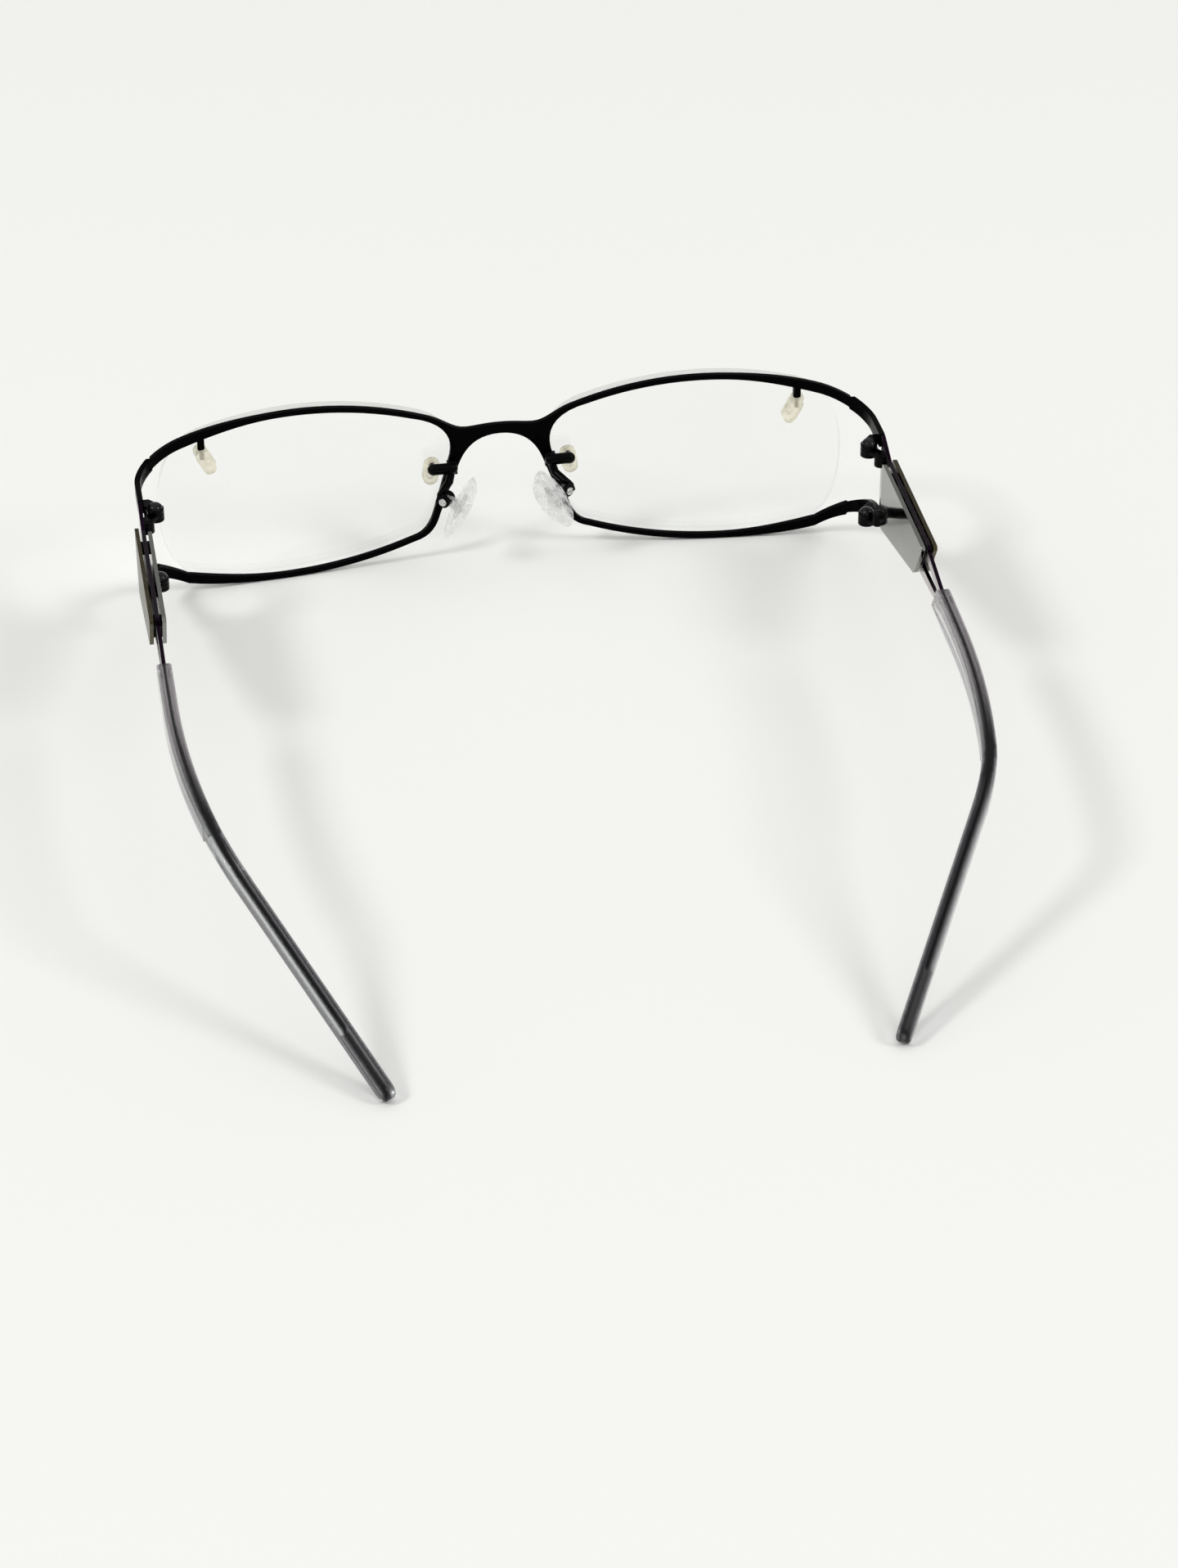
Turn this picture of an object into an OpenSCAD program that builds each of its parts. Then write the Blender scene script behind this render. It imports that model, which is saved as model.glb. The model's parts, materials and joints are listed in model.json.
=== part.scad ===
// Square eyeglasses with a flat-cut metal front, laminated temples and clear nose pads.
// Right and left are the wearer's. The wearer looks along +Y, +X is to their right, +Z is up.
// The glasses stand open on a table, on the bottom of the rims and on the temple tips.
// Most pieces are drawn on the frame's own axes, with the bridge at the origin, and then seated.

/* [Front] */
// Distance between the two hinge axes
hinge_span = 130; // [128:0.5:136]
// Radius of the wrap of the front, seen from above
wrap_r = 472; // [420:4:560]
// Thickness of the metal sheet, front to back
sheet_t = 1.0; // [0.8:0.1:1.2]
// Height of the rim wire, seen from the front
rim_w = 1.0; // [0.8:0.1:1.3]
// Distance of the hinge axes behind the rims
hinge_back = 20; // [19:0.25:22]
// Radius of the bend at the end of each arm
bend_r = 9.7; // [9.2:0.1:10]
// Height of the upper arms at the hinges
upper_arm_h = 2.6; // [2.2:0.1:3]
// Height of the lower arms at the hinges
lower_arm_h = 3.2; // [2.8:0.1:3.5]
// Height of the bridge at its middle
bridge_h = 1.9; // [1.5:0.1:2.2]

/* [Lenses] */
// Thickness of each lens
lens_t = 1.6; // [1.2:0.1:2]
// Gap between the rims and the lenses in front of them
lens_gap = 0.5; // [0.4:0.05:0.7]
// Width by which a lens stands past the middle of the rim
lens_over = 0.3; // [0.1:0.05:0.45]
// Diameter of the holes in the lenses
lens_hole_d = 1.36; // [1.3:0.02:1.5]
// Distance between the two holes of one bushing
peg_pitch = 2.4; // [2.2:0.1:2.6]
// Diameter of the metal posts in the bushings
post_d = 0.8; // [0.7:0.05:0.85]

/* [Nose pads] */
// Length of a pad
pad_len = 14; // [13:0.5:15]
// Width of a pad
pad_wid = 8.2; // [7.5:0.1:8.6]
// Thickness of a pad
pad_t = 2.5; // [2.3:0.1:2.7]
// Lean of the pads, seen from the front
pad_lean = 18.5; // [15:0.5:22]
// Turn of the pads, seen from above
pad_turn = 35; // [31:1:38]
// Diameter of the pad arm wire
pad_wire_d = 1.5; // [1.3:0.05:1.6]

/* [Hinges] */
// Diameter of a hinge knuckle
knuckle_d = 3.1; // [2.9:0.05:3.2]
// Height of a hinge
hinge_h = 2.3; // [2.2:0.05:2.5]
// Diameter of the hinge screws
screw_d = 1.0; // [0.9:0.05:1.1]
// Distance between the middles of the upper and lower hinges
hinge_gap = 14.2; // [13.8:0.1:14.6]

/* [Temples] */
// Length of the straight part behind the ear bend
ear_piece_len = 40; // [37.5:0.5:42]
// Thickness of the metal core of a temple
core_t = 0.7; // [0.6:0.05:0.75]
// Gap between the core and each side plate
plate_gap = 0.4; // [0.25:0.05:0.45]
// Thickness of the outer side plate
outer_t = 0.7; // [0.6:0.05:0.9]
// Thickness of the inner side plate
inner_t = 0.7; // [0.6:0.05:0.75]
// Thickness of the acetate
acetate_t = 2.6; // [2.4:0.1:2.8]
// Height of the acetate at its front end
acetate_h = 5.4; // [5:0.1:5.8]
// Height of the acetate from the ear bend to the tip
tip_h = 3.5; // [3.3:0.1:3.9]
// Rounding of the edges of the acetate
acetate_round = 0.7; // [0.5:0.1:0.8]
// Angle by which a temple turns inwards before the ear bend
inward_bend = 11; // [9.5:0.5:12.5]
// Angle of the ear bend
ear_bend = 37.5; // [34:0.5:40]
// Inward lean of the ear bend, from straight down
ear_lean = 30.5; // [27:0.5:34]

/* [Hidden] */
$fn = 64;
steps = 12;

// Hinge axis and the layers of the temple beside it, right side
hx = hinge_span / 2;
hy = -hinge_back;
half_t = sheet_t / 2;
arm_x = hx + 2.5;
arm_in = arm_x - half_t;
core_in = hx + 2.3;
core_out = core_in + core_t;
inner_out = core_in - plate_gap;
inner_in = inner_out - inner_t;
outer_in = core_out + plate_gap;
outer_out = outer_in + outer_t;
core_mid = core_in + core_t / 2;
arm_end = hy + 0.3;
core_front = hy - 0.05;
inner_front = hy - 5.5;
outer_front = hy - 4.2;

// The wrap of the front meets each bend where both head the same way
bend_a = asin((arm_x - bend_r) / (wrap_r - bend_r));
bend_x = wrap_r * sin(bend_a);
bend_y = wrap_r * cos(bend_a) - wrap_r;
bend_cx = bend_x - bend_r * sin(bend_a);
bend_cy = bend_y - bend_r * cos(bend_a);
bend_len = bend_r * (90 - bend_a) * PI / 180;
half_turn = bend_r * (45 - bend_a) * PI / 180;
arm_len = bend_len + bend_cy - arm_end;
upper_run = 14;
lower_run = 22;

// Rim arches, as circles of a large radius
rim_r = 71.5;
rim_apex = 6.9;
rim_base = -26.5;
top_cx = 38;
top_cz = rim_apex - rim_r;
bot_cx = 41;
bot_cz = rim_base + rim_r;
hw = rim_w / 2;
rim_flare = 0.45;
upper_z = -1.2;
lower_z = upper_z - hinge_gap;

// Lens fixings
stem_x = hx - 9.85;
stem_low = 2.05;
pin_d = sheet_t * 0.9;
pin_low = 0;
temporal_x = hx - 10.45;
temporal_z = -0.22;
temporal_tilt = -27;
nasal_x = 12.9;
nasal_z = -8.6;
nasal_tilt = 9;
peg_d = lens_hole_d - 0.06;
stub_d = 2.1;

// Nose pad boxes
box_x = 11;
box_y = -5.8;
box_z = -11.5;
box_d = 2.4;
box_len = 1.45;
tongue_r = 0.9;
pad_back = -2.1;
tongue_t = 1.0;
cheek_t = 0.7;
cheek_y = tongue_t / 2 + 0.1;
pad_screw_d = 0.9;

// Path of the acetate part: straight, turned inwards, bent behind the ear, and straight again
acetate_y = hy - 44.5;
acetate_z = -7.4;
acetate_slope = 4.2;
lead_len = 12;
inward_r = 177;
ear_r = 18;
wire_h = 2;
slot = 0.06;
join = 0.5;
hair = 0.04;
tip_r = tip_h / 2;
rise = (acetate_h - tip_h) / 2;

function rim_top(x) = top_cz + sqrt(rim_r * rim_r - (x - top_cx) * (x - top_cx));
function rim_bottom(x) = bot_cz - sqrt(rim_r * rim_r - (x - bot_cx) * (x - bot_cx));
function wrap_y(x) = sqrt(wrap_r * wrap_r - x * x) - wrap_r;
function peg_at(p, tilt, e) = [p[0] - e * peg_pitch / 2 * sin(tilt), p[1] + e * peg_pitch / 2 * cos(tilt)];
function unit(v) = v / norm(v);
function reverse(v) = [for (i = [len(v) - 1:-1:0]) v[i]];
function bezier(a, b, c, d, n = steps) = [
  for (i = [0:n]) let (t = i / n, s = 1 - t)
    s * s * s * a + 3 * s * s * t * b + 3 * s * t * t * c + t * t * t * d
];
function smooth(t) = t < 0 ? 0 : t > 1 ? 1 : t * t * (3 - 2 * t);
function rim_half(x) = hw + rim_flare * smooth((x - 42) / (bend_x - 42));
function rounded(a, p, b, r) = let (s = p + r * unit(a - p), e = p + r * unit(b - p))
  bezier(s, s + 0.55 * (p - s), e + 0.55 * (p - e), e, 4);

// A point of the arm, by its length u from the start of the bend
function turn(u) = min(90, bend_a + u / bend_r * 180 / PI);
function arm_px(u) = bend_cx + bend_r * sin(turn(u));
function arm_py(u) = u < bend_len ? bend_cy + bend_r * cos(turn(u)) : bend_cy - (u - bend_len);
function ease(t, z0, m0, z1) = let (k = min(1, t), s = 1 - k)
  z0 * (1 + 2 * k) * s * s + m0 * k * s * s + z1 * (3 - 2 * k) * k * k;
function grow(u, h) = let (a = hw + rim_flare) a + (h / 2 - a) * smooth(u / (arm_len - 3));

// Middle and half height of an arm at length u
upper_slope = (top_cx - bend_x) / (rim_top(bend_x) - top_cz);
function upper_mid(u) = ease(u / upper_run, rim_top(bend_x), upper_slope * upper_run, upper_z + 1.4);
function lower_mid(u) = ease(u / lower_run, rim_bottom(bend_x), 0.6 * lower_run, lower_z - 0.5);
function arm_mid(u, up) = up ? upper_mid(u) : lower_mid(u);
function arm_half(u, up) = grow(u, up ? upper_arm_h : lower_arm_h);

// Directions along a temple: the tangent, the outward side and the upward edge
function turn_in(v, k, a) = v * cos(a) + cross(k, v) * sin(a) + k * (k * v) * (1 - cos(a));
t_0 = [0, -cos(acetate_slope), -sin(acetate_slope)];
n_0 = [1, 0, 0];
h_0 = [0, -sin(acetate_slope), cos(acetate_slope)];
p_0 = [core_mid, acetate_y, acetate_z];
p_1 = p_0 + lead_len * t_0;
t_1 = turn_in(t_0, h_0, -inward_bend);
n_1 = turn_in(n_0, h_0, -inward_bend);
p_2 = p_1 + inward_r * (n_1 - n_0);
ear_dir = -cos(ear_lean) * h_0 - sin(ear_lean) * n_1;
ear_axis = cross(t_1, ear_dir);
t_2 = turn_in(t_1, ear_axis, ear_bend);
p_3 = p_2 + join / 2 * t_1 + ear_r * (ear_dir - turn_in(ear_dir, ear_axis, ear_bend));
h_2 = turn_in(h_0, ear_axis, ear_bend);
n_2 = turn_in(n_1, ear_axis, ear_bend);
p_4 = p_3 + ear_piece_len * t_2 + rise * h_2;

// The whole frame is pitched so that the lenses and the temple tips touch the table
function tip_reach(n) = (tip_r - acetate_round) * sqrt(1 - n * n)
  + (acetate_t / 2 - acetate_round) * abs(n) + acetate_round;
front_t = half_t + lens_gap + lens_t;
lens_low = [wrap_y(bot_cx) + front_t, rim_bottom(bot_cx) - lens_over];
lens_top = [wrap_y(17) + front_t, rim_top(17) + lens_over];
tip_c = [p_4[1], p_4[2]];
tip_gap = tip_c - lens_low;
pitch = atan2(-tip_gap[1], -tip_gap[0]) + asin(tip_reach(n_2[2]) / norm(tip_gap));
lift = lens_low[0] * sin(pitch) - lens_low[1] * cos(pitch);
y_front = lens_top[0] * cos(pitch) + lens_top[1] * sin(pitch);
y_back = tip_c[0] * cos(pitch) + tip_c[1] * sin(pitch) - tip_reach(n_2[1]);
y_mid = (y_front + y_back) / 2;

module seated() {
  translate([0, -y_mid, lift]) rotate([-pitch, 0, 0]) children();
}

module on_side(s) {
  if (s > 0) children();
  else mirror([1, 0, 0]) children();
}

// A flat outline in X and Z, made solid along Y
module upright(y0, y1) {
  translate([0, y1, 0]) rotate([90, 0, 0]) linear_extrude(height = y1 - y0) children();
}

// A flat outline in Y and Z, made solid along X
module sideways(x0, x1) {
  translate([x0, 0, 0]) rotate([90, 0, 90]) linear_extrude(height = x1 - x0) children();
}

// Front, seen from above: the wrap, then the bend and the straight end
module wrap_band(y0, y1, x_end) {
  intersection() {
    translate([0, -wrap_r, 0]) difference() {
      circle(r = wrap_r + y1, $fn = 360);
      circle(r = wrap_r + y0, $fn = 360);
    }
    translate([0, -20]) square([x_end, 40]);
  }
}

module bend_band() {
  difference() {
    intersection() {
      translate([bend_cx, bend_cy]) difference() {
        circle(r = bend_r + half_t, $fn = 128);
        circle(r = bend_r - half_t, $fn = 128);
      }
      polygon([[bend_cx, bend_cy], [bend_cx + 40 * sin(bend_a), bend_cy + 40 * cos(bend_a)],
        [bend_cx + 40, bend_cy + 40], [bend_cx + 40, bend_cy]]);
    }
  }
  translate([arm_in, arm_end]) square([sheet_t, bend_cy - arm_end + 0.01]);
}

// Half of the front, seen from the front, as one outline
module half_front() {
  xs_a = [for (i = [0:20]) 13 + (bend_x - 13) * i / 20];
  xs_b = [for (i = [0:20]) 16.5 + (bend_x - 16.5) * i / 20];
  top_out = [for (x = xs_a) [x, rim_top(x) + rim_half(x)]];
  top_in = [for (x = xs_b) [x, rim_top(x) - rim_half(x)]];
  bot_out = [for (x = xs_b) [x, rim_bottom(x) - rim_half(x)]];
  bot_in = [for (x = xs_b) [x, rim_bottom(x) + rim_half(x)]];
  bridge_top = bezier([0, 0.25], [3.2, 0.25], [4.4, -0.15], [6.3, -0.15], 8);
  brow = bezier([6.3, -0.15], [8.6, -0.15], [10.3, 1.9], top_out[0], 8);
  inner_top = bezier(top_in[0], [9.2, 1.4], [8.5, -2.8], [9.75, -6.6], 10);
  inner_low = bezier([12.8, -17.2], [13.5, -19.5], [14.6, -21.2], bot_in[0], 8);
  outer_low = bezier(bot_out[0], [13.2, -21.9], [12.2, -19.8], [11.45, -17.2], 8);
  arch = bezier([7.75, -7.2], [6.5, -4], [4.3, 0.25 - bridge_h], [0, 0.25 - bridge_h], 10);
  polygon(concat(bridge_top, brow, top_out, reverse(top_in), inner_top, inner_low, bot_in,
    reverse(bot_out), outer_low, arch));
}

// The arms, seen from the front up to half of the bend, and from the side behind it
module arm_front(up) {
  us = [for (i = [0:6]) half_turn * i / 6];
  polygon(concat([for (u = us) [arm_px(u), arm_mid(u, up) + arm_half(u, up)]],
    reverse([for (u = us) [arm_px(u), arm_mid(u, up) - arm_half(u, up)]])));
}

module arm_side(up) {
  us = [for (i = [0:10]) half_turn + (arm_len - half_turn) * i / 10];
  polygon(concat([for (u = us) [arm_py(u), arm_mid(u, up) + arm_half(u, up)]],
    reverse([for (u = us) [arm_py(u), arm_mid(u, up) - arm_half(u, up)]])));
}

module arm(up) {
  intersection() {
    translate([0, 0, -40]) linear_extrude(height = 60) intersection() {
      bend_band();
      polygon([[bend_cx, bend_cy], [bend_cx, bend_cy + 40], [bend_cx + 40, bend_cy + 40]]);
    }
    upright(-40, 20) arm_front(up);
  }
  intersection() {
    translate([0, 0, -40]) linear_extrude(height = 60) difference() {
      bend_band();
      polygon([[bend_cx, bend_cy], [bend_cx - 40, bend_cy], [bend_cx, bend_cy + 40],
        [bend_cx + 40, bend_cy + 40]]);
    }
    sideways(50, 80) arm_side(up);
  }
}

// Short stem below the top rim, with a pin that runs down into the temporal bushing
module lens_stem() {
  intersection() {
    translate([0, 0, stem_low]) linear_extrude(height = 10) wrap_band(-half_t, half_t, hx);
    translate([stem_x - 0.65, -20, stem_low])
      cube([1.3, 40, rim_top(stem_x) - rim_half(stem_x) + 0.3 - stem_low]);
  }
  translate([stem_x, wrap_y(stem_x), pin_low]) cylinder(d = pin_d, h = stem_low - pin_low + 0.2);
}

module front_half() {
  intersection() {
    translate([0, 0, -40]) linear_extrude(height = 60) wrap_band(-half_t, half_t, bend_x + 0.001);
    upright(-40, 20) half_front();
  }
  arm(true);
  arm(false);
  lens_stem();
}

module front_frame() {
  color([0.05, 0.05, 0.06]) seated() {
    front_half();
    mirror([1, 0, 0]) front_half();
  }
}

// Lens outline, a little larger than the rim, with a nearly straight temporal side
module lens_outline() {
  x0 = 17;
  x1 = hx - 9.5;
  top = [for (i = [0:14]) let (x = x0 + (x1 - x0) * i / 14) [x, rim_top(x) + lens_over]];
  bottom = [for (i = [0:14]) let (x = x1 + (x0 + 1 - x1) * i / 14) [x, rim_bottom(x) - lens_over]];
  temporal = concat(bezier(top[14], [hx - 4, 3.4], [hx - 1.7, -1.5], [hx - 1.4, -8], 8),
    bezier([hx - 1.4, -8], [hx - 1.2, -16], [hx - 2.5, -23.2], bottom[0], 8));
  nasal = concat(bezier(bottom[14], [14, -22.3], [12.6, -20], [11.9, -17.4], 6),
    bezier([9.1, -7], [8, -2.6], [9, 1.9], top[0], 8));
  polygon(concat(top, temporal, bottom, nasal));
}

module lens(s) {
  y0 = half_t + lens_gap;
  color([0.85, 0.88, 0.86, 0.35]) seated() on_side(s) difference() {
    intersection() {
      translate([0, 0, -40]) linear_extrude(height = 60) wrap_band(y0, y0 + lens_t, hx + 5);
      upright(-40, 20) lens_outline();
    }
    for (e = [-1, 1], p = [peg_at([temporal_x, temporal_z], temporal_tilt, e),
      peg_at([nasal_x, nasal_z], nasal_tilt, e)])
      translate([p[0], -8, p[1]]) rotate([-90, 0, 0]) cylinder(d = lens_hole_d, h = 20);
  }
}

module lens_right() { lens(1); }
module lens_left() { lens(-1); }

// Clear plastic bushing: a flat oval against the lens, a thicker foot and two pegs through the lens
module oval(w, h) {
  end_r = w / 2;
  for (e = [-1, 1]) translate([0, e * (h / 2 - end_r)]) circle(r = end_r, $fn = 48);
  square([w, h - w], center = true);
}

module wrapped_oval(c, tilt, y0, y1, w, h) {
  intersection() {
    translate([0, 0, c[1] - 8]) linear_extrude(height = 16) wrap_band(y0, y1, hx + 5);
    upright(-20, 20) translate(c) rotate(tilt) oval(w, h);
  }
}

module bushing_body(c, tilt, size, foot, depth) {
  low = c - [-sin(tilt), cos(tilt)] * ((size[1] - foot[1]) / 2 - 0.05);
  wrapped_oval(c, tilt, half_t + 0.02, half_t + lens_gap - 0.04, size[0], size[1]);
  wrapped_oval(low, tilt, half_t - depth, half_t + 0.12, foot[0], foot[1]);
  for (e = [-1, 1]) {
    p = peg_at(c, tilt, e);
    y = wrap_y(p[0]);
    translate([p[0], y + half_t + 0.2, p[1]]) rotate([-90, 0, 0])
      cylinder(d = peg_d, h = lens_gap + lens_t - 0.05);
  }
}

module bushing_temporal(s) {
  color([0.93, 0.91, 0.8, 0.7]) seated() on_side(s) difference() {
    bushing_body([temporal_x, temporal_z], temporal_tilt, [2.5, 6], [2.36, 5.2], 1.5);
    translate([stem_x, wrap_y(stem_x), pin_low - 0.06]) cylinder(d = pin_d + 0.1, h = 6);
  }
}

module bushing_nasal(s) {
  p = peg_at([nasal_x, nasal_z], nasal_tilt, 1);
  color([0.93, 0.91, 0.8, 0.7]) seated() on_side(s) difference() {
    bushing_body([nasal_x, nasal_z], nasal_tilt, [3, 5.2], [2.7, 3.3], 0.88);
    translate([p[0], -8, p[1]]) rotate([-90, 0, 0]) cylinder(d = post_d + 0.06, h = 20);
  }
}

module bushing_temporal_right() { bushing_temporal(1); }
module bushing_temporal_left() { bushing_temporal(-1); }
module bushing_nasal_right() { bushing_nasal(1); }
module bushing_nasal_left() { bushing_nasal(-1); }

// Places a pad and its box: local X points away from the nose and local Z runs up the pad
module pad_place() {
  translate([box_x, box_y, box_z]) rotate([0, 0, pad_turn]) rotate([0, -pad_lean, 0]) children();
}

module wire(a, b, d) {
  v = b - a;
  l = norm(v);
  translate(a) rotate([0, acos(v[2] / l), atan2(v[1], v[0])]) cylinder(d = d, h = l);
  translate(b) sphere(d = d * 1.03);
}

// Pad arm: a foot on the back of the rim, a stub to the nasal bushing, a bent wire and the pad box
module pad_arm(s) {
  y = wrap_y(9) - half_t;
  post = peg_at([nasal_x, nasal_z], nasal_tilt, 1);
  stub_y = wrap_y(10) - half_t - 0.02 - stub_d * 0.515;
  root = [9.2, y - 0.72, post[1] - 0.3];
  low = [9.9, y - 1.8, post[1] - 2.4];
  rear = [box_x + 0.88, box_y + 0.62, box_z + 0.6];
  cheek = cheek_y + cheek_t;
  color([0.06, 0.06, 0.07]) seated() on_side(s) difference() {
    union() {
      intersection() {
        translate([8.2, y - 1, post[1] - 1.4]) cube([1.9, 1.6, 2.6]);
        translate([0, -wrap_r, -40]) cylinder(r = wrap_r - half_t, h = 60, $fn = 360);
      }
      wire(root, low, pad_wire_d);
      wire(low, rear, pad_wire_d);
      translate([9.2, stub_y, post[1]]) sphere(d = stub_d * 1.03);
      wire([9.2, stub_y, post[1]], [post[0], stub_y, post[1]], stub_d);
      translate([post[0], stub_y, post[1]]) rotate([-90, 0, 0])
        cylinder(d = post_d, h = wrap_y(post[0]) + front_t + 0.3 - stub_y);
      pad_place() rotate([90, 0, 0]) linear_extrude(height = 2 * cheek, center = true) {
        circle(d = box_d);
        translate([0, -0.85]) square([box_len, 1.7]);
      }
    }
    pad_place() {
      rotate([90, 0, 0]) cylinder(d = pad_screw_d + 0.04, h = 12, center = true);
      translate([-3, -cheek_y, -2.5]) cube([4, 2 * cheek_y, 5]);
    }
  }
}

module pad_arm_right() { pad_arm(1); }
module pad_arm_left() { pad_arm(-1); }

// Screws that hold the pads in their boxes, with the bright heads towards the face
module pad_screws() {
  color("silver") seated() for (s = [-1, 1]) on_side(s) pad_place() {
    translate([0, cheek_y + cheek_t, 0]) rotate([90, 0, 0])
      cylinder(d = pad_screw_d, h = 2 * (cheek_y + cheek_t) + 0.1);
    translate([0, -cheek_y - cheek_t, 0]) rotate([90, 0, 0]) cylinder(d = 1.5, h = 0.35);
  }
}

// Metal insert: a small plate in the pad and a bored tongue for the screw
module insert_solid(grow) {
  translate([pad_back - 1.1 - grow, -1.5 - grow, -2 - grow])
    cube([0.5 + 2 * grow, 3 + 2 * grow, 4 + 2 * grow]);
  translate([pad_back - 0.9, -tongue_t / 2 - grow, 0.02 - tongue_r - grow])
    cube([-pad_back + 0.9, tongue_t + 2 * grow, 2 * (tongue_r - 0.02 + grow)]);
}

module pad_insert(s) {
  color([0.6, 0.6, 0.58]) seated() on_side(s) pad_place() difference() {
    union() {
      insert_solid(0);
      rotate([90, 0, 0]) cylinder(r = tongue_r, h = tongue_t, center = true);
    }
    rotate([90, 0, 0]) cylinder(d = pad_screw_d + 0.1, h = 4, center = true);
  }
}

module pad_insert_right() { pad_insert(1); }
module pad_insert_left() { pad_insert(-1); }

// Pad: an egg shape, wider at the bottom, with a domed face and a flatter back
function egg(a) = [pad_wid / 2 * cos(a) * (1 - 0.16 * sin(a)), pad_len / 2 * sin(a)];

module nose_pad(s) {
  crown = 15;
  back_r = 24;
  color([0.95, 0.96, 0.96, 0.5]) seated() on_side(s) pad_place() difference() {
    intersection() {
      translate([pad_back - 6, 0, 0]) rotate([90, 0, 90]) linear_extrude(height = 12)
        polygon([for (i = [0:35]) egg(i * 10)]);
      rotate([0, 90, 0]) rotate_extrude($fn = 96) intersection() {
        translate([0, pad_back - pad_t + crown]) circle(r = crown, $fn = 128);
        translate([0, pad_back - back_r]) circle(r = back_r, $fn = 128);
        translate([0, -40]) square([12, 80]);
      }
    }
    insert_solid(0.02);
  }
}

module nose_pad_right() { nose_pad(1); }
module nose_pad_left() { nose_pad(-1); }

// Hinges: the front leaf has the two end knuckles, the temple leaf has the middle one
knuckle_r = knuckle_d / 2;
end_h = hinge_h * 0.31;
mid_h = hinge_h - 2 * end_h - 0.1;

module hinge_front_leaf(s, zc) {
  color([0.07, 0.07, 0.08]) seated() on_side(s) translate([0, 0, zc - hinge_h / 2]) {
    difference() {
      union() {
        for (z = [0, hinge_h - end_h]) translate([0, 0, z]) {
          translate([hx, hy, 0]) cylinder(d = knuckle_d, h = end_h);
          linear_extrude(height = end_h) polygon([[hx - knuckle_r * 0.59, hy + knuckle_r * 0.78],
            [hx + knuckle_r * 0.2, hy - knuckle_r * 0.5], [arm_in, hy + 1], [arm_in, hy + 3.4],
            [arm_in - 1.1, hy + 3.4]]);
        }
        translate([arm_in - 0.8, hy + 1.8, 0]) cube([0.8, 1.6, hinge_h]);
      }
      translate([hx, hy, -1]) cylinder(d = screw_d + 0.04, h = hinge_h + 2);
    }
  }
}

module hinge_temple_leaf(s, zc, drop) {
  z0 = end_h + 0.05;
  lug_x = hx + 1.7;
  lug_y = hy - 2.6;
  color([0.07, 0.07, 0.08]) seated() on_side(s) translate([0, 0, zc - hinge_h / 2]) {
    difference() {
      union() {
        translate([hx, hy, z0]) cylinder(d = knuckle_d, h = mid_h);
        translate([0, 0, z0]) linear_extrude(height = mid_h) polygon([
          [hx - knuckle_r * 0.3, hy - knuckle_r * 0.9], [hx + knuckle_r * 0.8, hy - knuckle_r * 0.3],
          [core_in, lug_y + 0.6], [core_in, lug_y - 0.6], [lug_x - 0.6, lug_y - 0.6]]);
        intersection() {
          translate([lug_x, lug_y, drop]) cylinder(r = 1.25, h = hinge_h);
          translate([hx - 5, hy - 8, drop - 1]) cube([core_in - hx + 5, 9, hinge_h + 2]);
        }
        translate([core_in - 0.8, lug_y - 1.9, drop + 0.35]) cube([0.8, 1.9, hinge_h - 0.7]);
      }
      translate([hx, hy, -1]) cylinder(d = screw_d + 0.1, h = hinge_h + 2);
    }
  }
}

module hinge_upper_front_leaf_right() { hinge_front_leaf(1, upper_z); }
module hinge_upper_front_leaf_left() { hinge_front_leaf(-1, upper_z); }
module hinge_lower_front_leaf_right() { hinge_front_leaf(1, lower_z); }
module hinge_lower_front_leaf_left() { hinge_front_leaf(-1, lower_z); }
module hinge_upper_temple_leaf_right() { hinge_temple_leaf(1, upper_z, -0.9); }
module hinge_upper_temple_leaf_left() { hinge_temple_leaf(-1, upper_z, -0.9); }
module hinge_lower_temple_leaf_right() { hinge_temple_leaf(1, lower_z, 1.1); }
module hinge_lower_temple_leaf_left() { hinge_temple_leaf(-1, lower_z, 1.1); }

// Hinge screws with a domed head on top of the knuckles
module hinge_screw() {
  head_r = knuckle_r * 0.86;
  translate([0, 0, -hinge_h / 2]) cylinder(d = screw_d, h = hinge_h + 0.1);
  intersection() {
    translate([0, 0, hinge_h / 2]) cylinder(r = head_r, h = 0.5);
    translate([0, 0, hinge_h / 2 + 0.45 - 2.7]) sphere(r = 2.7, $fn = 48);
  }
}

module hinge_screws(s) {
  color([0.05, 0.05, 0.05]) seated() on_side(s)
    for (z = [upper_z, lower_z]) translate([hx, hy, z]) hinge_screw();
}

module hinge_screws_right() { hinge_screws(1); }
module hinge_screws_left() { hinge_screws(-1); }

// Side plates: tall beside the hinges and lower behind, with a slanting rear edge
plate_top = -1.2;
plate_low = -14.7;
plate_rear = hy - 35.9;
rear_top = -2.2;
rear_low = -10;
rear_lean = 5.1;
spacers = [[hy - 8.5, plate_top - 2], [hy - 8.5, plate_low + 2.6],
  [plate_rear + 3.2, rear_top - 1.9], [plate_rear + 6.2, rear_low + 2.3]];

function along(a, b, y) = a[1] + (b[1] - a[1]) * (y - a[0]) / (b[0] - a[0]);

module plate_outline(y0, front_r) {
  a = [y0, along([inner_front, plate_low], [plate_rear + rear_lean, rear_low], y0)];
  b = [y0, along([inner_front, plate_top], [plate_rear, rear_top], y0)];
  c = [plate_rear, rear_top];
  d = [plate_rear + rear_lean, rear_low];
  polygon(concat(front_r > 0 ? rounded(d, a, b, front_r) : [a],
    front_r > 0 ? rounded(a, b, c, front_r) : [b], rounded(b, c, d, 1.2), rounded(c, d, a, 0.8)));
}

module temple_outer_plate(s) {
  color([0.3, 0.26, 0.2]) seated() on_side(s)
    sideways(outer_in, outer_out) plate_outline(outer_front, 0.8);
}

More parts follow.
